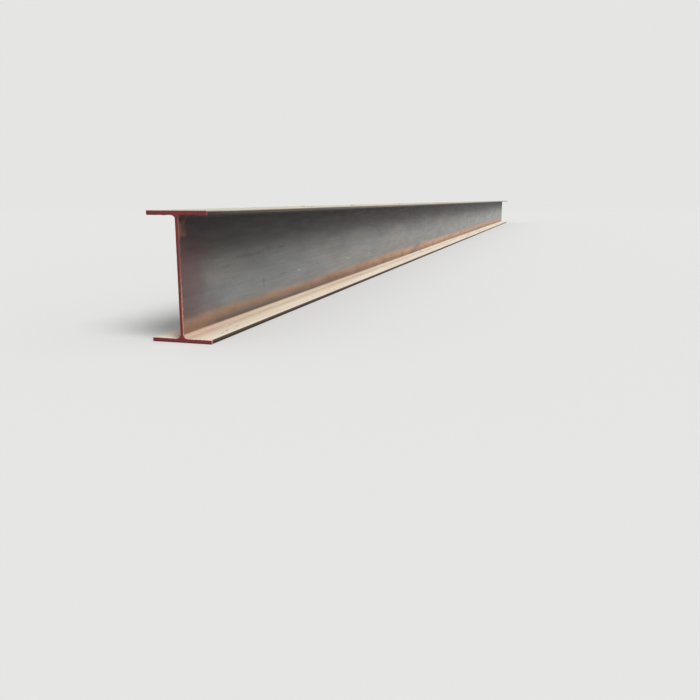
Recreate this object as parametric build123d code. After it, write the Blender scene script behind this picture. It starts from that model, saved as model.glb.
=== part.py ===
"""Hot-rolled steel H section, 400 x 200 mm, in a 12 m mill length.

The bar lies along X and rests on its lower flange, with the web upright.
The origin is on the underside of the lower flange, at the middle of its width and of the bar's length.
"""
import os
from math import isclose

from build123d import *

# Driving dimensions in millimetres
LENGTH = 12000.0          # along X, between the two sawn ends
DEPTH = 400.0             # along Z, over both flanges
WIDTH = 200.0             # along Y, across one flange
FLANGE_THICKNESS = 13.0
WEB_THICKNESS = 8.0
ROOT_RADIUS = 13.0        # fillet that runs the web into each flange
TOE_RADIUS = 2.0          # rounding that the edging rolls leave along the flange tips

# The largest share of a wall that each of the two roundings on it may take
ROUNDING_SHARE = 0.45

# Sizes worked out from those above
CHANNEL_HEIGHT = DEPTH - 2 * FLANGE_THICKNESS
OVERHANG = (WIDTH - WEB_THICKNESS) / 2
TOE_ROUNDING = min(TOE_RADIUS, ROUNDING_SHARE * FLANGE_THICKNESS)
ROOT_ROUNDING = min(ROOT_RADIUS, ROUNDING_SHARE * CHANNEL_HEIGHT, ROUNDING_SHARE * OVERHANG)


def corners_at(outline, distance):
    """Picks the outline's corners that lie this far to either side of its upright middle line."""
    return outline.vertices().filter_by(lambda corner: isclose(abs(corner.X), distance, abs_tol=1e-6))


def flange(mid_height):
    """Draws one parallel flange in the section's plane, with its thickness centred on this height."""
    return Pos(0, mid_height) * Rectangle(WIDTH, FLANGE_THICKNESS)


def web():
    """Draws the web between the two flanges, with its ends buried in them."""
    return Pos(0, DEPTH / 2) * Rectangle(WEB_THICKNESS, DEPTH - FLANGE_THICKNESS)


def rolled_section():
    """Draws the H outline, standing on its lower flange, with root fillets and rounded toes."""
    outline = web() + flange(FLANGE_THICKNESS / 2) + flange(DEPTH - FLANGE_THICKNESS / 2)
    outline = fillet(corners_at(outline, WEB_THICKNESS / 2), ROOT_ROUNDING)
    return fillet(corners_at(outline, WIDTH / 2), TOE_ROUNDING)


def rolled_beam():
    """Draws the section out along the bar, half the length to each side of the origin."""
    beam = extrude(Plane.YZ * rolled_section(), amount=LENGTH / 2, both=True)
    beam.label = "h_beam"
    return beam


def main():
    """Builds the one piece and writes it under its node's name."""
    os.makedirs("parts", exist_ok=True)
    beam = rolled_beam()
    export_step(beam, f"parts/{beam.label}.step")


main()
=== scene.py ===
"""Looks of a 12 m hot-rolled steel H section: mill scale, rust, dust and a red painted sawn end.

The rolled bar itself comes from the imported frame. This script gives it its finish and adds the relief that
sawing, painting and storage leave on it, then sets it on a plain floor in soft studio light.
"""
import math
import random

import bmesh
import bpy
from bpy.props import FloatProperty, FloatVectorProperty, IntProperty, PointerProperty
from mathutils import Matrix, Vector, noise


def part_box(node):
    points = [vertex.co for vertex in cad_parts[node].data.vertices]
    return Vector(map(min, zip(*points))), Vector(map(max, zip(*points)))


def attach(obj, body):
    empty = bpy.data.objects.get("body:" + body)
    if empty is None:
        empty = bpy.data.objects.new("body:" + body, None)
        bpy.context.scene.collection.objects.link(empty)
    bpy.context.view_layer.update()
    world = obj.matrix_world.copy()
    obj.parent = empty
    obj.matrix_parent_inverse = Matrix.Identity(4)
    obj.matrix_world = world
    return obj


bl_info = {
    "name": "Steel H beam",
    "version": (1, 0, 0),
    "blender": (4, 5, 0),
    "location": "View3D > Sidebar > H beam",
    "description": "Finishes a rolled steel H section with scale, rust, dust, paint and saw burr",
    "category": "Object",
}

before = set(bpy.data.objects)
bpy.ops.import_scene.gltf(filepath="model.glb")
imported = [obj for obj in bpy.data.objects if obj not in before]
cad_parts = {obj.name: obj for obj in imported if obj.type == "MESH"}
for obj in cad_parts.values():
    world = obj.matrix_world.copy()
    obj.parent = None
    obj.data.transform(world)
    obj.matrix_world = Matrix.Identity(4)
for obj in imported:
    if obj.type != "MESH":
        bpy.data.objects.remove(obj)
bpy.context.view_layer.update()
BEAM = "h_beam"
BODY = "root"
STEEL_SLOT = "mill_scale_steel"
PAINT_SLOT = "end_paint"

# The section in metres: its box comes from the frame, and the thicknesses and radii are repeated here
HALF_LENGTH, HALF_WIDTH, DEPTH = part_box(BEAM)[1]
FLANGE = 0.013
WEB_HALF = 0.004
ROOT_RADIUS = 0.013
TOE_RADIUS = 0.002
LOWER_INNER = FLANGE
UPPER_INNER = DEPTH - FLANGE

MILLIMETRE = 0.001

# Marks on the web's -Y face: distance from the painted end, height, half the length and half the height
PALE_SCUFFS = ((1.03, 0.128, 0.020, 0.005), (1.79, 0.122, 0.042, 0.004), (2.23, 0.118, 0.034, 0.004))
DARK_SMUDGES = ((0.50, 0.231, 0.118, 0.007), (0.32, 0.206, 0.041, 0.006), (0.23, 0.243, 0.038, 0.005),
                (0.69, 0.248, 0.054, 0.006), (0.83, 0.244, 0.039, 0.005))
DARK_SCRATCH = (0.636, 0.116, 0.0022, 0.025)
# Where the rust is rubbed off: distance from the painted end at the foot, half the width, lean along the bar
RUBBED_BAND = (3.49, 0.17, 4.1)
# Larger chips that lean on the web's foot: distance from the painted end, distance from the middle, size
PALE_CHIPS = ((3.89, 0.0105, 0.018),)
# The dark chip stands just beside the pale one, a little nearer the painted end
DARK_CHIPS = ((3.84, 0.0115, 0.017),)
# How far such a chip leans, and how high its middle stands as a share of its size
CHIP_LEAN = math.radians(60.0)
CHIP_RISE = 0.45

# Loose crumbs: the spread of a cluster along and across the bar, and what stays clear beside each end
SPREAD_ALONG = 0.05
SPREAD_ACROSS = 0.014
CLEAR_STRETCH = 0.02
# One crumb: its sides, how far it tips, and the ranges of its width and its outline as shares of its size
CRUMB_SIDES = 6
CRUMB_TIP = 0.10
CRUMB_WIDTHS = (0.45, 1.0)
CRUMB_OUTLINE = (0.65, 1.15)
# Its thickness in millimetres, the most of it as a share of its size, and how large its upper side is
CRUMB_THICKNESS = (0.5, 1.6)
THICKEST_SHARE = 0.30
UPPER_SIDE = 0.8

# Ragged edges of the sawn ends: how many clumps fit in a metre, and how much finer the next ones are
BURR_CLUMPS = (55.0, 3.1)
FRINGE_CLUMPS = (90.0, 2.9)
# The bare end's burr and skin, as shares of the painted end's
BARE_BURR = 0.8
BARE_WRAP = 0.6

# The stage: a wide floor, a soft lamp and the direction that it stands in, and what the camera takes in
FLOOR_RADIUS = 120.0
FLOOR_SIDES = 96
LAMP_ANGLE = math.radians(35.0)
LAMP_DIRECTION = (-0.42, -0.60, 1.0)
SENSOR_WIDTH = 36.0
FARTHEST_VIEW = 500.0

# The Mix node's sockets for colours
MIX_FIRST = 6
MIX_SECOND = 7
MIX_RESULT = 2


def colour(name, description, value):
    """A colour that a user may change."""
    return FloatVectorProperty(name=name, description=description, default=value, size=3,
                               min=0.0, max=1.0, subtype="COLOR")


def length(name, description, value):
    """A length in metres that a user may change."""
    return FloatProperty(name=name, description=description, default=value, min=0.0,
                         precision=5, unit="LENGTH", subtype="DISTANCE")


def share(name, description, value):
    """A share from none to all."""
    return FloatProperty(name=name, description=description, default=value, min=0.0, max=1.0,
                         subtype="FACTOR")


def count(name, description, value):
    """A whole number that a user may change."""
    return IntProperty(name=name, description=description, default=value, min=0, soft_max=1000)


class HBEAM_PG_finish(bpy.types.PropertyGroup):
    """Colours and reaches of what lies on the rolled faces."""

    scale_cool: colour("Cool scale", "Blue-grey mill scale on the web", (0.170, 0.174, 0.172))
    scale_warm: colour("Warm scale", "Browner mill scale on the web", (0.196, 0.186, 0.173))
    # Dark scale in streaks and specks, also laid on as painted shade under the upper flange
    dark_scale_and_shade: colour("Dark scale", "Scale under the upper flange and in streaks", (0.034, 0.020, 0.016))
    scale_brown: colour("Brown scale", "Scale on the flange tips and the web's foot", (0.150, 0.120, 0.095))
    rust_light: colour("Light rust", "Dusty orange rust", (0.395, 0.232, 0.148))
    rust_deep: colour("Deep rust", "Older brown rust", (0.225, 0.125, 0.078))
    corner_rust: colour("Corner rust", "Orange rust in the corner by the painted end", (0.235, 0.098, 0.040))
    dust_pale: colour("Pale dust", "Dust in the channel, on the face that looks up", (0.780, 0.640, 0.490))
    dust_dry: colour("Dry dust", "Paler dust, far from the painted end", (0.840, 0.775, 0.650))
    dust_grey: colour("Grey dust", "Thinner dust with the scale showing through", (0.560, 0.490, 0.400))
    dust_top: colour("Dust on top", "Dust on the outer face of the upper flange", (0.640, 0.600, 0.480))
    worn_top: colour("Worn top", "Grey scale that shows through on top", (0.360, 0.335, 0.290))
    paint_tint: colour("Paint tint", "Pink tint in the dust where paint has washed down", (0.50, 0.26, 0.21))
    haze_red: colour("Overspray", "Haze of marking paint beside the sawn end", (0.088, 0.018, 0.022))
    band_height: length("Rust band", "Height of the rust band above the lower flange", 0.068)
    # How far the dark scale and the painted shade come down from the upper flange
    dark_scale_and_shade_reach: length("Dark scale reach", "How far dark scale comes down from the upper flange", 0.245)
    haze_reach: length("Overspray reach", "How far the haze of paint reaches along the bar", 0.20)


class HBEAM_PG_ends(bpy.types.PropertyGroup):
    """Sizes and colours of the two sawn ends."""

    film: length("Paint film", "Thickness of the paint on the sawn face", 0.00035)
    burr: length("Burr", "Height of the burr that the saw leaves along the edges", 0.0011)
    burr_width: length("Burr width", "How far the burr reaches back from the sawn face", 0.0022)
    wrap: length("Paint wrap", "How far the paint is brushed round the edges", 0.0120)
    step: length("Edge step", "Longest edge that the ragged outline is drawn with", 0.0016)
    paint: colour("Marking paint", "Dull crimson paint on the sawn face", (0.176, 0.027, 0.030))
    paint_bright: colour("Thick paint", "Where the brush left more paint", (0.310, 0.020, 0.042))
    paint_dark: colour("Thin paint", "Where scale and dirt show through", (0.080, 0.028, 0.026))
    # Worn paint on the edges, partly a painted highlight
    rubbed_paint_and_highlight: colour("Rubbed paint", "Paint worn to tan beside the edges", (0.460, 0.240, 0.165))
    # Bleached paint on the foot's upper edges, partly a painted highlight
    chalky_paint_and_highlight: colour("Chalky paint", "Paint bleached on the foot's upper edges", (0.930, 0.730, 0.630))
    sawn_steel: colour("Sawn steel", "Bare steel on the far end, dulled by air", (0.260, 0.240, 0.220))


class HBEAM_PG_grit(bpy.types.PropertyGroup):
    """Loose scale and crumbs that lie on the faces that look up."""

    clusters: count("Clusters", "Groups of crumbs on each face", 60)
    crowd: count("Crumbs in a cluster", "Most crumbs that lie together", 14)
    smallest: length("Smallest crumb", "Shortest crumb, end to end", 0.0010)
    largest: length("Largest crumb", "Longest crumb, end to end", 0.0085)
    seed: count("Seed", "Changes where the crumbs lie", 7)
    dark: colour("Scale crumbs", "Flakes of dark scale", (0.060, 0.048, 0.040))
    rusty: colour("Rust crumbs", "Flakes of rust", (0.240, 0.110, 0.055))
    pale: colour("Pale crumbs", "Crumbs of dried mud and grit", (0.860, 0.820, 0.740))


class HBEAM_PG_studio(bpy.types.PropertyGroup):
    """Camera, floor and light."""

    lens: FloatProperty(name="Lens", description="Focal length on a 36 mm wide sensor", default=36.67,
                        min=10.0, max=200.0, unit="CAMERA")
    camera_back: length("Camera back", "How far the camera stands beyond the painted end", 1.919)
    camera_aside: length("Camera aside", "How far the camera stands beside the web", 1.099)
    camera_height: length("Camera height", "Height of the lens above the floor", 0.433)
    heading: FloatProperty(name="Heading", description="Turn of the view from the bar's own line",
                           default=math.radians(16.30), subtype="ANGLE", unit="ROTATION")
    pitch: FloatProperty(name="Pitch", description="How far the view looks down",
                         default=math.radians(11.96), subtype="ANGLE", unit="ROTATION")
    floor_colour: colour("Floor", "Plain pale floor", (0.76, 0.76, 0.75))
    backdrop: colour("Backdrop", "What the floor fades into far away", (0.785, 0.785, 0.775))
    fade_start: length("Fade start", "Where the floor starts to fade into the backdrop", 8.0)
    fade_end: length("Fade end", "Where the floor has faded into the backdrop", 34.0)
    sky_level: share("Sky level", "Even light from all round", 0.45)
    key_level: FloatProperty(name="Key level", description="Soft light from above and beside", default=2.3,
                             min=0.0, max=10.0)


class Finish:
    """A material in the making: each method adds a shader node and returns what it gives."""

    def __init__(self, name):
        self.material = bpy.data.materials.new(name)
        self.material.use_nodes = True
        self.tree = self.material.node_tree
        self.tree.nodes.clear()
        self.place = self.add("ShaderNodeTexCoord").outputs["Object"]
        self.x, self.y, self.z = self.add("ShaderNodeSeparateXYZ", {0: self.place}).outputs

    def feed(self, socket, value):
        """Sets a socket to a number or colour, or joins it to another node's output."""
        if isinstance(value, bpy.types.NodeSocket):
            self.tree.links.new(value, socket)
        elif socket.type == "RGBA" and len(value) == 3:
            socket.default_value = (*value, 1.0)
        else:
            socket.default_value = value

    def add(self, kind, inputs=None, **settings):
        """Adds a node with these settings and inputs."""
        node = self.tree.nodes.new(kind)
        for name, value in settings.items():
            setattr(node, name, value)
        for key, value in (inputs or {}).items():
            self.feed(node.inputs[key], value)
        return node

    def math(self, operation, first, second=0.0):
        """One sum on two numbers."""
        return self.add("ShaderNodeMath", {0: first, 1: second}, operation=operation).outputs[0]

    def plus(self, first, second):
        """Adds two numbers."""
        return self.math("ADD", first, second)

    def minus(self, first, second):
        """Takes the second number from the first."""
        return self.math("SUBTRACT", first, second)

    def times(self, first, second):
        """Multiplies two numbers."""
        return self.math("MULTIPLY", first, second)

    def ramp(self, value, start, end, low=0.0, high=1.0):
        """Goes smoothly from low to high as value goes from start to end, and stays level outside them."""
        inputs = {"Value": value, "From Min": start, "From Max": end, "To Min": low, "To Max": high}
        return self.add("ShaderNodeMapRange", inputs, interpolation_type="SMOOTHSTEP").outputs["Result"]

    def blend(self, factor, first, second):
        """Mixes two colours."""
        node = self.add("ShaderNodeMix", {"Factor": factor}, data_type="RGBA")
        self.feed(node.inputs[MIX_FIRST], first)
        self.feed(node.inputs[MIX_SECOND], second)
        return node.outputs[MIX_RESULT]

    def shade(self, first, amount):
        """Multiplies a colour by a number."""
        node = self.add("ShaderNodeVectorMath", {0: first}, operation="SCALE")
        self.feed(node.inputs["Scale"], amount)
        return node.outputs[0]

    def noise(self, per_metre, detail=3.0, roughness=0.5, shift=0.0):
        """Cloudy noise around 0.5. per_metre is how many clouds fit in a metre along X, Y and Z."""
        inputs = {"Vector": self.place, "Location": (shift, shift, shift), "Scale": per_metre}
        place = self.add("ShaderNodeMapping", inputs)
        inputs = {"Vector": place.outputs[0], "Scale": 1.0, "Detail": detail, "Roughness": roughness}
        return self.add("ShaderNodeTexNoise", inputs).outputs[0]

    def specks(self, per_metre, size, shift=0.0):
        """Scattered round specks, one at most in each cell. size is a share of a cell."""
        inputs = {"Vector": self.place, "Location": (shift, shift, shift), "Scale": per_metre}
        place = self.add("ShaderNodeMapping", inputs)
        cells = self.add("ShaderNodeTexVoronoi", {"Vector": place.outputs[0], "Scale": 1.0})
        odds = self.add("ShaderNodeSeparateXYZ", {0: cells.outputs["Color"]}).outputs[0]
        reach = self.times(odds, size)
        return self.ramp(self.minus(cells.outputs["Distance"], reach), 0.0, -0.05)

    def bump(self, height):
        """A normal from a height in metres."""
        return self.add("ShaderNodeBump", {"Height": height, "Distance": 1.0, "Strength": 1.0}).outputs[0]

    def surface(self, base, roughness, specular, normal=None):
        """One shader. specular is the same all over, so it is set on the shader itself."""
        inputs = {"Base Color": base, "Roughness": roughness, "Specular IOR Level": specular}
        if normal is not None:
            inputs["Normal"] = normal
        return self.add("ShaderNodeBsdfPrincipled", inputs).outputs[0]

    def finish(self, surface):
        """Ends the material in this surface."""
        self.add("ShaderNodeOutputMaterial", {"Surface": surface}).is_active_output = True
        return self.material


class Section:
    """Where a point lies on the rolled section, as distances and as shares that a finish can mix by."""

    def __init__(self, f):
        aside = f.math("ABSOLUTE", f.y)
        self.rise = f.minus(f.z, LOWER_INNER)
        self.drop = f.minus(UPPER_INNER, f.z)
        self.reach = f.minus(aside, WEB_HALF)
        self.from_paint = f.plus(f.x, HALF_LENGTH)
        self.near_side = f.ramp(f.y, 0.001, -0.001)
        # Dust lies on the flange and up the whole root fillet, and a little higher far from the painted end
        climb = f.ramp(self.from_paint, 3.0, 6.5, -1.0 * MILLIMETRE, 3.0 * MILLIMETRE)
        self.lower_inner = f.ramp(f.minus(self.rise, climb), 15.0 * MILLIMETRE, 9.5 * MILLIMETRE)
        self.upper_inner = f.ramp(f.minus(self.drop, self.reach), 6.0 * MILLIMETRE, -4.0 * MILLIMETRE)
        self.toe = f.ramp(aside, HALF_WIDTH - 1.1 * TOE_RADIUS, HALF_WIDTH - 0.4 * TOE_RADIUS)
        self.top = f.ramp(f.z, DEPTH - 0.8 * TOE_RADIUS, DEPTH - 0.2 * TOE_RADIUS)
        self.bottom = f.ramp(f.z, 0.8 * TOE_RADIUS, 0.2 * TOE_RADIUS)


def shade_along(f, section):
    """The scale is dullest beside the painted end and gets paler towards the other end."""
    along = f.math("POWER", f.times(section.from_paint, 1.0 / (2 * HALF_LENGTH)), 0.55)
    return f.plus(1.0, f.times(along, 0.92))


def shade_down(f, section, finish, clouds, base):
    """Dark scale and painted shade in the corner under the upper flange, dark and warm, above all near the
    painted end.
    """
    wander = f.ramp(clouds, 0.3, 0.7, -0.012, 0.012)
    darkest = f.ramp(section.from_paint, 0.3, 8.0, 0.06, 0.29)
    reach = f.times(f.ramp(section.from_paint, 0.2, 2.2, 1.17, 1.0), finish.dark_scale_and_shade_reach)
    # Painted shade with dark scale: the web gets darker and warmer up towards the upper flange
    light = f.ramp(f.plus(section.drop, wander), 0.0, reach, darkest, 1.0)
    near_end = f.ramp(section.from_paint, 0.1, 0.9, 0.72, 1.0)
    light = f.times(light, f.ramp(section.drop, 0.10, 0.16, near_end, 1.0))
    return f.blend(f.ramp(light, 0.7, 0.1, 0.0, 0.35), f.shade(base, light), finish.dark_scale_and_shade)


def oval_mark(f, section, middle, height, half_length, half_height, wobble):
    """How far a point lies inside an oval mark with a ragged edge on the web's -Y face."""
    along = f.times(f.minus(section.from_paint, middle), 1.0 / half_length)
    up = f.times(f.minus(f.z, height), 1.0 / half_height)
    radius = f.math("SQRT", f.plus(f.times(along, along), f.times(up, up)))
    return f.times(f.ramp(f.plus(radius, wobble), 1.15, 0.70), section.near_side)


def web_scale(f, section, finish):
    """Grey and brown scale with faint streaks along the bar, scuffs, a scratch and small rusty chips."""
    clouds = f.noise((0.9, 2.0, 5.0), detail=5.0, roughness=0.6)
    base = f.blend(f.ramp(clouds, 0.38, 0.62), finish.scale_cool, finish.scale_warm)
    smudges = f.noise((3.0, 10.0, 14.0), detail=5.0, roughness=0.55, shift=3.1)
    base = f.shade(base, f.ramp(smudges, 0.25, 0.75, 0.88, 1.11))
    streaks = f.noise((2.2, 10.0, 70.0), detail=3.0, roughness=0.6, shift=5.3)
    base = f.shade(base, f.ramp(streaks, 0.25, 0.75, 0.93, 1.06))
    grains = f.noise((170.0, 170.0, 170.0), detail=5.0, roughness=0.75, shift=15.5)
    base = f.shade(base, f.ramp(grains, 0.25, 0.75, 0.86, 1.14))
    dashes = f.noise((5.0, 20.0, 60.0), detail=2.0, roughness=0.5, shift=11.3)
    base = f.blend(f.ramp(dashes, 0.67, 0.77, 0.0, 0.35), base, finish.dark_scale_and_shade)
    chips = f.noise((48.0, 48.0, 48.0), detail=6.0, roughness=0.62, shift=23.9)
    base = f.blend(f.ramp(chips, 0.665, 0.70, 0.0, 0.45), base, finish.rust_deep)

    wobble = f.ramp(f.noise((110.0, 110.0, 110.0), detail=3.0, shift=27.1), 0.3, 0.7, -0.35, 0.35)
    for scuff in PALE_SCUFFS:
        base = f.blend(f.times(oval_mark(f, section, *scuff, wobble), 0.25), base, finish.dust_grey)
    for smudge in DARK_SMUDGES:
        base = f.blend(f.times(oval_mark(f, section, *smudge, wobble), 0.22), base, finish.dark_scale_and_shade)
    scratch = oval_mark(f, section, *DARK_SCRATCH, f.times(wobble, 0.6))
    base = f.blend(f.times(scratch, 0.70), base, finish.dark_scale_and_shade)

    return shade_down(f, section, finish, clouds, f.shade(base, shade_along(f, section)))


def rust_colour(f, finish):
    """Orange and brown rust in small clouds."""
    clouds = f.noise((7.0, 9.0, 20.0), detail=6.0, roughness=0.65, shift=2.3)
    grains = f.noise((220.0, 220.0, 220.0), detail=2.0, shift=9.1)
    mixed = f.plus(f.times(clouds, 0.8), f.times(grains, 0.2))
    return f.blend(f.ramp(mixed, 0.20, 0.68), finish.rust_deep, finish.rust_light)


def rubbed_gap(f, section):
    """How much a point lies in the leaning gap where the rust on the web's -Y face is rubbed off."""
    middle, half, lean = RUBBED_BAND
    middle = f.plus(middle, f.times(section.rise, lean))
    from_middle = f.math("ABSOLUTE", f.minus(section.from_paint, middle))
    inside = f.times(f.ramp(from_middle, 1.6 * half, 0.1 * half), section.near_side)
    return f.times(inside, f.ramp(section.rise, 0.095, 0.060))


def rust_band(f, section, finish):
    """How much rust lies on the foot of the web: a band with a soft, streaky upper edge.

    Near the painted end it stands a little above the flange, with a strip of brown scale below it.
    """
    swell = f.noise((1.6, 0.0, 0.0), detail=4.0, shift=1.7)
    hairs = f.noise((70.0, 4.0, 7.0), detail=3.0, roughness=0.6, shift=5.9)
    edge = f.plus(finish.band_height, f.ramp(swell, 0.3, 0.7, -0.0045, 0.0050))
    edge = f.plus(edge, f.ramp(hairs, 0.3, 0.7, -0.0025, 0.0025))
    edge = f.plus(edge, f.ramp(section.from_paint, 0.2, 4.0, -0.008, 0.007))
    fade = f.ramp(f.minus(section.rise, edge), 0.012, -0.024)

    from_end = f.ramp(section.from_paint, 0.10, 0.30)
    strip = f.times(from_end, f.ramp(section.from_paint, 1.8, 0.9))
    strip = f.times(strip, f.ramp(section.rise, 0.034, 0.018, 0.0, 0.80))
    patches = f.noise((6.0, 7.0, 20.0), detail=4.0, roughness=0.6, shift=13.7)
    amount = f.times(fade, f.ramp(patches, 0.25, 0.60, 0.78, 0.96))
    amount = f.times(amount, f.minus(1.0, strip))
    return f.times(amount, f.minus(1.0, f.times(rubbed_gap(f, section), 0.56)))


def dust(f, finish, pale, thin, shift):
    """Dust with faint wandering streaks along the bar, thin patches, small stains and dark specks."""
    patches = f.noise((1.6, 9.0, 9.0), detail=5.0, roughness=0.6, shift=shift)
    base = f.blend(f.ramp(patches, 0.46, 0.82, 0.0, thin), pale, finish.dust_grey)
    streaks = f.noise((0.9, 26.0, 26.0), detail=4.0, roughness=0.55, shift=shift + 4.0)
    base = f.shade(base, f.ramp(streaks, 0.3, 0.72, 1.03, 0.90))
    lines = f.noise((0.7, 90.0, 90.0), detail=3.0, roughness=0.6, shift=shift + 6.0)
    base = f.shade(base, f.ramp(lines, 0.3, 0.7, 0.965, 1.02))
    grains = f.noise((140.0, 140.0, 140.0), detail=4.0, roughness=0.75, shift=shift + 8.0)
    base = f.shade(base, f.ramp(grains, 0.3, 0.7, 0.95, 1.04))
    stains = f.noise((10.0, 15.0, 15.0), detail=4.0, roughness=0.65, shift=shift + 12.0)
    base = f.blend(f.ramp(stains, 0.66, 0.80, 0.0, 0.40), base, finish.rust_deep)
    specks = f.specks((38.0, 38.0, 38.0), 0.15, shift=shift + 16.0)
    return f.blend(f.times(specks, 0.55), base, finish.dark_scale_and_shade)


def channel_dust_and_shade(f, section, finish):
    """Dust on the lower flange in the channel, pinker by the web, with a faint line at the fillet's foot,
    and painted shade that darkens it on the root fillet.
    """
    pale = f.blend(f.ramp(section.from_paint, 0.2, 4.5), finish.dust_pale, finish.dust_dry)
    pale = f.blend(f.ramp(section.reach, 0.025, 0.080, 0.0, 0.65), pale, finish.dust_dry)
    # Painted shade: the dust is darker on the root fillet by the web and lighter towards the tip
    on_fillet = f.ramp(section.from_paint, 2.0, 4.5, 0.86, 0.95)
    pale = f.shade(pale, f.ramp(section.reach, 0.008, 0.060, on_fillet, 1.14))
    base = dust(f, finish, pale, 0.60, 31.0)
    outer = f.times(f.ramp(section.reach, 0.070, 0.092), f.ramp(section.from_paint, 0.3, 4.0, 0.0, 0.40))
    base = f.blend(outer, base, finish.dust_grey)
    broken = f.ramp(f.noise((5.0, 0.0, 0.0), detail=3.0, shift=41.0), 0.40, 0.60, 0.08, 0.25)
    broken = f.times(broken, f.ramp(section.from_paint, 1.5, 3.5, 1.0, 0.3))
    from_line = f.math("ABSOLUTE", f.minus(section.reach, 0.010))
    base = f.blend(f.times(f.ramp(from_line, 0.0045, 0.0010), broken), base, finish.scale_brown)
    near_end = f.ramp(section.from_paint, 0.7, 0.0, 0.06, 0.38)
    return f.blend(f.times(f.ramp(section.reach, 0.040, 0.004), near_end), base, finish.paint_tint)


def top_dust(f, finish):
    """Even pale dust on top of the bar, a little thinner in long patches."""
    worn = f.noise((0.8, 7.0, 7.0), detail=6.0, roughness=0.66, shift=55.0)
    base = dust(f, finish, finish.dust_top, 0.30, 61.0)
    return f.blend(f.ramp(worn, 0.50, 0.75, 0.0, 0.30), base, finish.worn_top)


def toe_scale_and_shade(f, section, finish, rust):
    """Scale on the flange tips: brown on the upper one and rusty on the lower one.

    Dust and a painted highlight lie along the upper arris of both. Both tips carry painted shade, most near
    the painted end, and the lower one is darkest along its lower edge.
    """
    worn = f.noise((5.0, 30.0, 60.0), detail=4.0, roughness=0.6, shift=51.0)
    high = f.math("GREATER_THAN", f.z, DEPTH / 2)
    base = f.blend(f.times(high, 0.70), finish.scale_brown, finish.scale_warm)
    base = f.blend(f.ramp(worn, 0.42, 0.72, 0.0, 0.45), base, rust)
    base = f.blend(f.times(f.minus(1.0, high), 0.85), base, finish.rust_deep)
    # Dust and painted highlight along the upper arris of the lower tip
    lower = f.ramp(f.z, 0.45 * FLANGE, 0.80 * FLANGE, 0.0, 0.30)
    base = f.blend(f.times(lower, f.minus(1.0, high)), base, finish.dust_grey)
    # Painted shade on the sideways-facing tips: darkest near the painted end, the lower tip most towards its
    # lower edge
    below = f.ramp(section.from_paint, 0.3, 3.5, 0.26, 0.38)
    below = f.times(below, f.ramp(f.z, 0.15 * FLANGE, 0.55 * FLANGE, 0.50, 1.0))
    above = f.ramp(section.from_paint, 0.0, 3.0, 0.36, 1.15)
    base = f.shade(base, f.plus(f.times(above, high), f.times(below, f.minus(1.0, high))))
    # Dust and painted highlight along the upper arris of the upper tip
    wider = f.ramp(section.from_paint, 1.0, 3.5, 0.0, 1.5 * MILLIMETRE)
    upper = f.ramp(f.plus(f.z, wider), DEPTH - 0.45 * FLANGE, DEPTH - 0.10 * FLANGE)
    return f.blend(f.times(upper, 0.85), base, finish.dust_top)


def paint_haze(f, section, finish):
    """How much overspray lies on the faces beside the painted end."""
    spread = f.noise((9.0, 9.0, 9.0), detail=4.0, roughness=0.6, shift=81.0)
    reach = f.times(f.ramp(spread, 0.3, 0.7, 0.75, 1.25), finish.haze_reach)
    return f.ramp(f.math("DIVIDE", section.from_paint, reach), 1.5, 0.0)


def web_surface(f, section, finish, rust, band):
    """Scale on the web and a band of rust at its foot, with painted shade that darkens the foot down by the
    flange.
    """
    rust = f.shade(rust, f.ramp(section.from_paint, 1.0, 4.6, 0.98, 1.72))
    rust = f.shade(rust, f.ramp(section.from_paint, 5.0, 7.5, 1.0, 0.90))
    rust = f.blend(f.ramp(section.from_paint, 1.0, 3.0, 0.03, 0.07), rust, finish.dust_grey)
    base = web_scale(f, section, finish)
    base = f.blend(f.ramp(section.rise, 0.034, 0.016, 0.0, 0.75), base, finish.scale_brown)
    base = f.blend(band, base, rust)
    base = f.shade(base, f.ramp(rubbed_gap(f, section), 0.0, 1.0, 1.0, 0.82))
    # Painted shade in the corner between the web and the lower flange
    foot = f.ramp(section.from_paint, 0.05, 0.35, 0.82, 0.68)
    return f.shade(base, f.ramp(section.rise, 0.048, 0.022, 1.0, foot))


def corner_patch(f, section):
    """How much rust lies in the patch under the upper flange, beside the painted end."""
    wander = f.ramp(f.noise((25.0, 25.0, 25.0), detail=4.0, shift=17.0), 0.3, 0.7, -0.015, 0.015)
    near_end = f.ramp(f.plus(section.from_paint, wander), 0.070, 0.005, 0.0, 0.62)
    from_middle = f.math("ABSOLUTE", f.minus(section.drop, 0.042))
    return f.times(near_end, f.ramp(f.plus(from_middle, wander), 0.042, 0.010))


def rolled_roughness(f, section, dusty, band):
    """Roughness: smoothest on bare scale, and rougher on the flange tips and where dust or rust lies."""
    rough = f.ramp(f.noise((8.0, 60.0, 60.0), detail=3.0, shift=91.0), 0.3, 0.7, 0.53, 0.61)
    for amount, level in ((dusty, 0.68), (section.toe, 0.80), (band, 0.86)):
        rough = f.math("MAXIMUM", rough, f.times(amount, level))
    return rough


def rolled_relief(f):
    """Height of the pits in the scale and of the faint marks that the rolls leave, in metres."""
    pits = f.noise((380.0, 380.0, 380.0), detail=5.0, roughness=0.62, shift=101.0)
    rolls = f.noise((6.0, 40.0, 40.0), detail=3.0, shift=111.0)
    return f.plus(f.times(pits, 0.11 * MILLIMETRE), f.times(rolls, 0.12 * MILLIMETRE))


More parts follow.
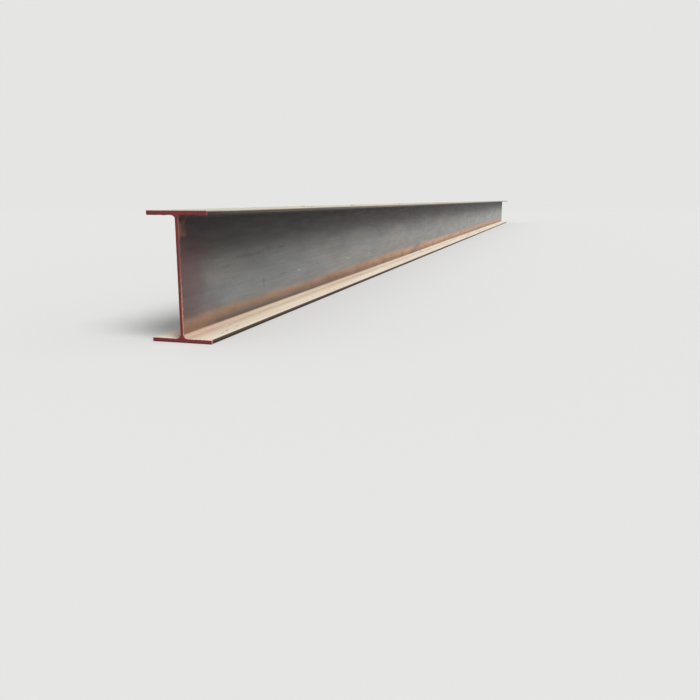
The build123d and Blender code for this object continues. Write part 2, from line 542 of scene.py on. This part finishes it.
def rolled_surface(f, section, finish):
    """Colour, roughness and height of the rolled bar all over.

    Scale lies on the web, rust at its foot, dust on the flanges and a haze of paint by the painted end.
    """
    rust = rust_colour(f, finish)
    band = rust_band(f, section, finish)
    base = web_surface(f, section, finish, rust, band)

    rusty = f.ramp(f.noise((3.0, 14.0, 14.0), detail=4.0, shift=21.0), 0.4, 0.65, 0.0, 0.6)
    # Underside of the upper flange and its root: near black, partly dark scale with rust and partly painted
    # shade
    base = f.blend(section.upper_inner, base, f.blend(rusty, finish.dark_scale_and_shade, finish.rust_deep))
    base = f.blend(section.lower_inner, base, channel_dust_and_shade(f, section, finish))
    base = f.blend(section.toe, base, toe_scale_and_shade(f, section, finish, rust))
    base = f.blend(section.top, base, top_dust(f, finish))
    base = f.blend(section.bottom, base, f.blend(rusty, finish.scale_brown, finish.dust_grey))

    dusty = f.math("MAXIMUM", section.lower_inner, section.top)
    haze = f.times(paint_haze(f, section, finish), f.ramp(dusty, 0.0, 1.0, 0.58, 0.10))
    haze = f.times(haze, f.ramp(band, 0.0, 1.0, 1.0, 0.25))
    # Painted shade: the overspray darkens up towards the upper flange
    base = f.blend(haze, base, f.shade(finish.haze_red, f.ramp(section.drop, 0.0, 0.16, 0.25, 1.0)))
    base = f.blend(corner_patch(f, section), base, finish.corner_rust)
    return base, rolled_roughness(f, section, dusty, band), rolled_relief(f)


def steel_finish(finish):
    """The whole rolled bar."""
    f = Finish(STEEL_SLOT)
    base, rough, height = rolled_surface(f, Section(f), finish)
    return f.finish(f.surface(base, rough, 0.25, f.bump(height)))


def rim_mask(f, face_x, inward):
    """Nothing on the sawn face itself, and all on its upper edges and on what is wrapped round its sides."""
    behind = f.times(f.minus(f.x, face_x), inward)
    wrapped = f.ramp(behind, 0.1 * MILLIMETRE, 0.7 * MILLIMETRE)
    on_top = f.ramp(f.z, DEPTH - 1.2 * MILLIMETRE, DEPTH - 0.1 * MILLIMETRE)
    on_foot = f.ramp(f.z, LOWER_INNER - 1.2 * MILLIMETRE, LOWER_INNER - 0.1 * MILLIMETRE)
    beside_web = f.ramp(f.math("ABSOLUTE", f.y), WEB_HALF + ROOT_RADIUS, WEB_HALF + 1.3 * ROOT_RADIUS)
    on_foot = f.times(f.times(on_foot, beside_web), f.math("LESS_THAN", f.z, DEPTH / 2))
    return f.math("MAXIMUM", wrapped, f.math("MAXIMUM", on_top, on_foot))


def skin_fade(f, face_x, inward):
    """Nothing close to the sawn face, and all towards the ragged edge of the skin that wraps round it."""
    behind = f.times(f.minus(f.x, face_x), inward)
    patches = f.noise((150.0, 150.0, 150.0), detail=5.0, roughness=0.7, shift=37.0)
    return f.ramp(f.plus(behind, f.ramp(patches, 0.25, 0.75, -0.004, 0.004)), 0.0045, 0.0085)


def saw_marks(f):
    """Height of the fine grooves that the saw leaves across a sawn face, in metres."""
    grooves = f.noise((1.0, 14.0, 620.0), detail=2.0, roughness=0.5, shift=121.0)
    return f.times(grooves, 0.25 * MILLIMETRE)


def paint_finish(finish, ends):
    """Dull crimson paint, thick and thin by turns, rubbed to pink and tan round the edges, which also carry
    a painted highlight.
    """
    f = Finish(PAINT_SLOT)
    section = Section(f)
    thick = f.noise((16.0, 22.0, 22.0), detail=5.0, roughness=0.62, shift=7.0)
    base = f.blend(f.ramp(thick, 0.52, 0.72, 0.0, 0.80), ends.paint, ends.paint_bright)
    thin = f.noise((40.0, 55.0, 55.0), detail=6.0, roughness=0.68, shift=19.0)
    base = f.blend(f.ramp(thin, 0.52, 0.68, 0.0, 0.80), base, ends.paint_dark)

    rim = rim_mask(f, -HALF_LENGTH, 1.0)
    on_top = f.ramp(f.z, DEPTH - 2.0 * MILLIMETRE, DEPTH - 0.5 * MILLIMETRE)
    on_foot = f.ramp(f.minus(section.rise, section.reach), 0.001, -0.006)
    on_foot = f.times(on_foot, f.ramp(section.rise, -0.002, -0.001))
    # Painted shade: the rubbed edges darken up towards the upper flange and brighten down towards the foot
    rubbed = f.shade(ends.rubbed_paint_and_highlight, f.ramp(f.z, 0.27, 0.12, 0.42, 1.15))
    rubbed = f.blend(on_foot, rubbed, ends.chalky_paint_and_highlight)
    rubbed = f.blend(on_top, rubbed, finish.dust_top)
    flecks = f.noise((260.0, 260.0, 260.0), detail=5.0, roughness=0.7, shift=29.0)
    base = f.blend(f.times(rim, f.ramp(flecks, 0.36, 0.52, 0.25, 1.0)), base, rubbed)
    bare, bare_rough, _ = rolled_surface(f, section, finish)
    fade = skin_fade(f, -HALF_LENGTH, 1.0)
    base = f.blend(fade, base, bare)

    rough = f.ramp(thin, 0.3, 0.7, 0.48, 0.70)
    rough = f.plus(f.times(rough, f.minus(1.0, fade)), f.times(bare_rough, fade))
    lumps = f.times(f.noise((160.0, 160.0, 160.0), detail=4.0, roughness=0.6, shift=33.0), 0.25 * MILLIMETRE)
    return f.finish(f.surface(base, rough, 0.28, f.bump(f.plus(lumps, saw_marks(f)))))


def sawn_finish(finish, ends):
    """Bare sawn steel that the air has dulled, with rust in patches and on the edges."""
    f = Finish("sawn_steel")
    rust = rust_colour(f, finish)
    patches = f.noise((12.0, 26.0, 26.0), detail=6.0, roughness=0.66, shift=71.0)
    base = f.blend(f.ramp(patches, 0.40, 0.64, 0.10, 0.85), ends.sawn_steel, rust)
    base = f.blend(f.times(rim_mask(f, HALF_LENGTH, -1.0), 0.8), base, finish.scale_brown)
    bare, _, _ = rolled_surface(f, Section(f), finish)
    base = f.blend(skin_fade(f, HALF_LENGTH, -1.0), base, bare)
    rough = f.ramp(patches, 0.35, 0.65, 0.42, 0.80)
    return f.finish(f.surface(base, rough, 0.35, f.bump(saw_marks(f))))


def crumb_finish(name, tone):
    """One kind of crumb, a little lighter and darker from crumb to crumb."""
    f = Finish(name)
    tones = f.noise((90.0, 90.0, 90.0), detail=3.0, roughness=0.6, shift=131.0)
    base = f.shade(tone, f.ramp(tones, 0.3, 0.7, 0.75, 1.15))
    grain = f.noise((900.0, 900.0, 900.0), detail=2.0, shift=141.0)
    return f.finish(f.surface(base, 0.85, 0.25, f.bump(f.times(grain, 0.1 * MILLIMETRE))))


def add_piece(context, name, shape, material):
    """Makes a piece of the bar from a finished bmesh, in place, and gives it its body and slot."""
    mesh = bpy.data.meshes.new(name)
    shape.to_mesh(mesh)
    shape.free()
    mesh.materials.append(material)
    piece = bpy.data.objects.new(name, mesh)
    context.collection.objects.link(piece)
    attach(piece, BODY)
    return piece


def draw_outline(shape, x, step):
    """Draws the section's outline at this place along the bar, as a ring of short edges."""
    right = [(HALF_WIDTH, 0.0), (HALF_WIDTH, LOWER_INNER), (WEB_HALF, LOWER_INNER),
             (WEB_HALF, UPPER_INNER), (HALF_WIDTH, UPPER_INNER), (HALF_WIDTH, DEPTH)]
    left = [(-y, z) for y, z in reversed(right)]
    corners = [shape.verts.new((x, y, z)) for y, z in right + left]
    shape.faces.new(corners)
    roots = [corner for corner in corners if abs(corner.co.y) < HALF_WIDTH / 2]
    toes = [corner for corner in corners if abs(corner.co.y) > HALF_WIDTH / 2]
    for group, radius, segments in ((roots, ROOT_RADIUS, 8), (toes, TOE_RADIUS, 3)):
        bmesh.ops.bevel(shape, geom=group, offset=radius, offset_type="OFFSET", affect="VERTICES",
                        segments=segments, profile=0.5, material=-1)
    bmesh.ops.delete(shape, geom=list(shape.faces), context="FACES_ONLY")
    for edge in list(shape.edges):
        cuts = int(edge.calc_length() / step)
        if cuts:
            bmesh.ops.subdivide_edges(shape, edges=[edge], cuts=cuts)
    return list(shape.edges)


def extrude_rim(shape, ring, inward, depths):
    """Extrudes the outline through these depths, closes both ends and returns each ring's corners."""
    first = ring
    rings = [list({corner for edge in ring for corner in edge.verts})]
    for start, end in zip(depths, depths[1:]):
        grown = bmesh.ops.extrude_edge_only(shape, edges=ring)["geom"]
        corners = [item for item in grown if isinstance(item, bmesh.types.BMVert)]
        ring = [item for item in grown if isinstance(item, bmesh.types.BMEdge)]
        bmesh.ops.translate(shape, verts=corners, vec=(inward * (end - start), 0.0, 0.0))
        rings.append(corners)
    for face in shape.faces:
        face.smooth = True
    for end_ring in (first, ring):
        bmesh.ops.contextual_create(shape, geom=end_ring)
    bmesh.ops.recalc_face_normals(shape, faces=list(shape.faces))
    return rings


def burr_weight(outward, place):
    """How heavy the burr is: the saw leaves most of it under the flanges and less on the web."""
    hanging = max(0.0, -outward.z) * (1.0 if place.z > DEPTH / 2 else 0.0)
    standing = 0.55 * max(0.0, outward.z)
    return hanging + standing + 0.30 * abs(outward.y)


def ragged(place, outward, clumps, fine):
    """A number from 0 to about 1 that changes along the outline, mostly small and now and then large."""
    spot = place * clumps + outward * 3.7
    coarse = max(0.0, noise.noise(spot) + 0.15)
    return coarse * 1.1 + 0.35 * abs(noise.noise(spot * fine)) + 0.25 * abs(noise.noise(spot * fine * 2.3))


def sawn_rim(ends, face_x, inward, burr, wrap):
    """A closed cap over one sawn end: its face, the burr round it and a thin ragged skin behind the burr."""
    film = ends.film
    width = ends.burr_width
    # How far behind the sawn face each ring lies, and what share of the burr and of the film stands there
    profile = ((-film, 0.0, -0.8), (-0.4 * film, 0.5, 0.2), (0.35 * width, 1.0, 1.0),
               (0.75 * width, 0.75, 1.0), (1.2 * width, 0.2, 0.8), (0.7 * wrap, 0.0, 0.45),
               (wrap, 0.0, 0.15), (wrap + film, 0.0, -1.5))
    shape = bmesh.new()
    outline = draw_outline(shape, face_x - inward * film, ends.step)
    rings = extrude_rim(shape, outline, inward, [depth for depth, _, _ in profile])
    shape.normal_update()
    outward = {}
    for corner in shape.verts:
        outward[corner] = Vector((0.0, corner.normal.y, corner.normal.z)).normalized()
    for ring, (depth, of_burr, of_film) in zip(rings, profile):
        for corner in ring:
            side = outward[corner]
            flat = Vector((face_x, corner.co.y, corner.co.z))
            bead = burr * (0.10 + burr_weight(side, flat) * ragged(flat, side, *BURR_CLUMPS))
            fringe = 0.50 + 0.8 * ragged(flat, side, *FRINGE_CLUMPS)
            corner.co += side * (of_burr * bead + of_film * film)
            if depth > width:
                corner.co.x = face_x + inward * (width + (depth - width) * fringe)
            corner.co.z = max(corner.co.z, 0.0)
    return shape


def add_crumb(shape, chance, place, size):
    """Adds one thin flake with a ragged outline, lying on a face that looks up, and returns its corners."""
    turn = Matrix.Rotation(chance.uniform(0.0, math.tau), 4, "Z")
    lean = Matrix.Rotation(chance.uniform(-CRUMB_TIP, CRUMB_TIP), 4, "X")
    narrow = Matrix.Diagonal((1.0, chance.uniform(*CRUMB_WIDTHS), 1.0, 1.0))
    place = Matrix.Translation(place) @ turn @ lean @ narrow
    base = bmesh.ops.create_circle(shape, cap_ends=True, segments=CRUMB_SIDES, radius=size / 2,
                                   matrix=place)["verts"]
    centre = place.translation
    for corner in base:
        corner.co = centre + (corner.co - centre) * chance.uniform(*CRUMB_OUTLINE)
    raised = bmesh.ops.extrude_face_region(shape, geom=[base[0].link_faces[0]])["geom"]
    raised = [item for item in raised if isinstance(item, bmesh.types.BMVert)]
    thick = min(THICKEST_SHARE * size, chance.uniform(*CRUMB_THICKNESS) * MILLIMETRE)
    bmesh.ops.translate(shape, verts=raised, vec=(0.0, 0.0, thick))
    bmesh.ops.scale(shape, verts=raised, vec=(UPPER_SIDE, UPPER_SIDE, 1.0),
                    space=Matrix.Translation(-centre))
    return list(base) + raised


def lean_chip(shape, chance, from_paint, aside, size):
    """Adds one larger flake that stands on its edge in the -Y channel and leans towards the web."""
    chip = add_crumb(shape, chance, Vector(), size)
    spot = Vector((from_paint - HALF_LENGTH, -aside, LOWER_INNER + CHIP_RISE * size))
    place = Matrix.Translation(spot) @ Matrix.Rotation(CHIP_LEAN, 4, "X")
    bmesh.ops.transform(shape, matrix=place, verts=chip)


def scatter_crumbs(shape, chance, grit, face_z, inner, outer, crowding, clusters):
    """Scatters clusters of crumbs over one pair of strips, from inner to outer on both sides of the middle.

    The higher crowding is above one, the more of them lie close to the inner edge.
    """
    for _ in range(clusters):
        x = chance.uniform(-HALF_LENGTH, HALF_LENGTH)
        y = (inner + (outer - inner) * chance.random() ** crowding) * chance.choice((-1.0, 1.0))
        for _ in range(1 + int(grit.crowd * chance.random() ** 2)):
            along = chance.gauss(0.0, SPREAD_ALONG)
            across = chance.gauss(0.0, SPREAD_ACROSS)
            place = Vector((x + along, y + across, face_z))
            if abs(place.x) > HALF_LENGTH - CLEAR_STRETCH or not inner <= abs(place.y) <= outer:
                continue
            size = grit.smallest + (grit.largest - grit.smallest) * chance.random() ** 3
            add_crumb(shape, chance, place, size)


class HBEAM_OT_dress_beam(bpy.types.Operator):
    """Gives the rolled bar its scale, rust, dust, paint haze and painted shade"""

    bl_idname = "h_beam.dress_beam"
    bl_label = "Dress the rolled bar"

    def execute(self, context):
        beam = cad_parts[BEAM]
        beam.data.materials.clear()
        beam.data.materials.append(steel_finish(context.scene.h_beam_finish))
        return {"FINISHED"}


class HBEAM_OT_painted_end(bpy.types.Operator):
    """Coats the near sawn end with marking paint over its burr"""

    bl_idname = "h_beam.painted_end"
    bl_label = "Paint the near sawn end"

    def execute(self, context):
        ends = context.scene.h_beam_ends
        shape = sawn_rim(ends, -HALF_LENGTH, 1.0, ends.burr, ends.wrap)
        material = paint_finish(context.scene.h_beam_finish, ends)
        add_piece(context, "painted_end_coat", shape, material)
        return {"FINISHED"}


class HBEAM_OT_bare_end(bpy.types.Operator):
    """Leaves the far sawn end bare, with its burr and rust"""

    bl_idname = "h_beam.bare_end"
    bl_label = "Finish the far sawn end"

    def execute(self, context):
        ends = context.scene.h_beam_ends
        shape = sawn_rim(ends, HALF_LENGTH, -1.0, BARE_BURR * ends.burr, BARE_WRAP * ends.wrap)
        material = sawn_finish(context.scene.h_beam_finish, ends)
        add_piece(context, "bare_end_burr", shape, material)
        return {"FINISHED"}


class HBEAM_OT_crumbs(bpy.types.Operator):
    """Scatters loose scale, rust and grit on the faces that look up"""

    bl_idname = "h_beam.crumbs"
    bl_label = "Scatter loose crumbs"

    def execute(self, context):
        grit = context.scene.h_beam_grit
        chance = random.Random(grit.seed)
        outer = HALF_WIDTH - 3 * TOE_RADIUS
        # Each pair of strips: height, inner edge, outer edge and crowding
        channel = (LOWER_INNER, WEB_HALF + ROOT_RADIUS, outer, 2.2)
        top = (DEPTH, 0.0, outer, 1.0)
        # Each kind: piece, tone, share of the clusters and larger chips
        kinds = (("scale_crumbs", grit.dark, 1.0, DARK_CHIPS), ("rust_crumbs", grit.rusty, 0.6, ()),
                 ("grit_crumbs", grit.pale, 0.5, PALE_CHIPS))
        for name, tone, amount, chips in kinds:
            shape = bmesh.new()
            for strip in (channel, top):
                scatter_crumbs(shape, chance, grit, *strip, int(grit.clusters * amount))
            for chip in chips:
                lean_chip(shape, chance, *chip)
            bmesh.ops.recalc_face_normals(shape, faces=list(shape.faces))
            add_piece(context, name, shape, crumb_finish(name, tone))
        return {"FINISHED"}


class HBEAM_OT_stage(bpy.types.Operator):
    """Sets the floor, the light and the camera"""

    bl_idname = "h_beam.stage"
    bl_label = "Set the stage"

    def execute(self, context):
        studio = context.scene.h_beam_studio
        self.floor(context, studio)
        self.light(context, studio)
        self.camera(context, studio)
        context.scene.view_settings.view_transform = "Standard"
        return {"FINISHED"}

    def floor(self, context, studio):
        """A wide disc that fades into the backdrop far away, where the camera looks along it."""
        mesh = bpy.data.meshes.new("studio_floor")
        shape = bmesh.new()
        bmesh.ops.create_circle(shape, cap_ends=True, segments=FLOOR_SIDES, radius=FLOOR_RADIUS)
        shape.to_mesh(mesh)
        shape.free()
        f = Finish("studio_floor")
        distance = f.add("ShaderNodeVectorMath", {0: f.place}, operation="LENGTH").outputs["Value"]
        path = f.add("ShaderNodeLightPath")
        seen = f.math("MAXIMUM", path.outputs["Is Camera Ray"], path.outputs["Is Glossy Ray"])
        faded = f.times(f.ramp(distance, studio.fade_start, studio.fade_end), seen)
        near = f.surface(tuple(studio.floor_colour), 0.9, 0.1)
        far = f.add("ShaderNodeEmission", {"Color": tuple(studio.backdrop), "Strength": 1.0}).outputs[0]
        mixed = f.add("ShaderNodeMixShader", {0: faded, 1: near, 2: far}).outputs[0]
        mesh.materials.append(f.finish(mixed))
        floor = bpy.data.objects.new("studio_floor", mesh)
        context.collection.objects.link(floor)

    def light(self, context, studio):
        """An even sky that looks like the backdrop, and one wide soft lamp."""
        world = bpy.data.worlds.new("studio")
        context.scene.world = world
        world.use_nodes = True
        tree = world.node_tree
        tree.nodes.clear()
        path = tree.nodes.new("ShaderNodeLightPath")
        seen = tree.nodes.new("ShaderNodeMath")
        seen.operation = "MAXIMUM"
        tree.links.new(path.outputs["Is Camera Ray"], seen.inputs[0])
        tree.links.new(path.outputs["Is Glossy Ray"], seen.inputs[1])
        even = tree.nodes.new("ShaderNodeBackground")
        even.inputs["Color"].default_value = (1.0, 1.0, 1.0, 1.0)
        even.inputs["Strength"].default_value = studio.sky_level
        pale = tree.nodes.new("ShaderNodeBackground")
        pale.inputs["Color"].default_value = (*studio.backdrop, 1.0)
        choice = tree.nodes.new("ShaderNodeMixShader")
        output = tree.nodes.new("ShaderNodeOutputWorld")
        tree.links.new(seen.outputs[0], choice.inputs[0])
        tree.links.new(even.outputs[0], choice.inputs[1])
        tree.links.new(pale.outputs[0], choice.inputs[2])
        tree.links.new(choice.outputs[0], output.inputs[0])
        lamp = bpy.data.lights.new("key", "SUN")
        lamp.energy = studio.key_level
        lamp.angle = LAMP_ANGLE
        key = bpy.data.objects.new("key", lamp)
        key.rotation_euler = Vector(LAMP_DIRECTION).to_track_quat("Z", "Y").to_euler()
        context.collection.objects.link(key)

    def camera(self, context, studio):
        """The photograph's own viewpoint, just beyond the painted end and beside the web."""
        data = bpy.data.cameras.new("camera")
        data.lens = studio.lens
        data.sensor_width = SENSOR_WIDTH
        data.clip_end = FARTHEST_VIEW
        camera = bpy.data.objects.new("camera", data)
        camera.location = (-HALF_LENGTH - studio.camera_back, -studio.camera_aside, studio.camera_height)
        camera.rotation_euler = (math.pi / 2 - studio.pitch, 0.0, studio.heading - math.pi / 2)
        context.collection.objects.link(camera)
        context.scene.camera = camera


GROUPS = {
    "h_beam_finish": HBEAM_PG_finish,
    "h_beam_ends": HBEAM_PG_ends,
    "h_beam_grit": HBEAM_PG_grit,
    "h_beam_studio": HBEAM_PG_studio,
}
STEPS = (HBEAM_OT_dress_beam, HBEAM_OT_painted_end, HBEAM_OT_bare_end, HBEAM_OT_crumbs, HBEAM_OT_stage)


class HBEAM_PT_panel(bpy.types.Panel):
    """Lists the sizes, the colours and the steps"""

    bl_idname = "HBEAM_PT_panel"
    bl_label = "H beam"
    bl_space_type = "VIEW_3D"
    bl_region_type = "UI"
    bl_category = "H beam"

    def draw(self, context):
        for name, group in GROUPS.items():
            box = self.layout.box()
            for setting in group.__annotations__:
                box.prop(getattr(context.scene, name), setting)
        for operator in STEPS:
            self.layout.operator(operator.bl_idname)


CLASSES = (*GROUPS.values(), *STEPS, HBEAM_PT_panel)


def register():
    """Registers the classes and hangs the settings on the scene."""
    for item in CLASSES:
        bpy.utils.register_class(item)
    for name, group in GROUPS.items():
        setattr(bpy.types.Scene, name, PointerProperty(type=group))


def unregister():
    """Takes the settings and the classes away again."""
    for name in GROUPS:
        delattr(bpy.types.Scene, name)
    for item in reversed(CLASSES):
        bpy.utils.unregister_class(item)


def main():
    """Runs every step in order."""
    register()
    bpy.ops.h_beam.dress_beam()
    bpy.ops.h_beam.painted_end()
    bpy.ops.h_beam.bare_end()
    bpy.ops.h_beam.crumbs()
    bpy.ops.h_beam.stage()


if __name__ == "__main__":
    main()
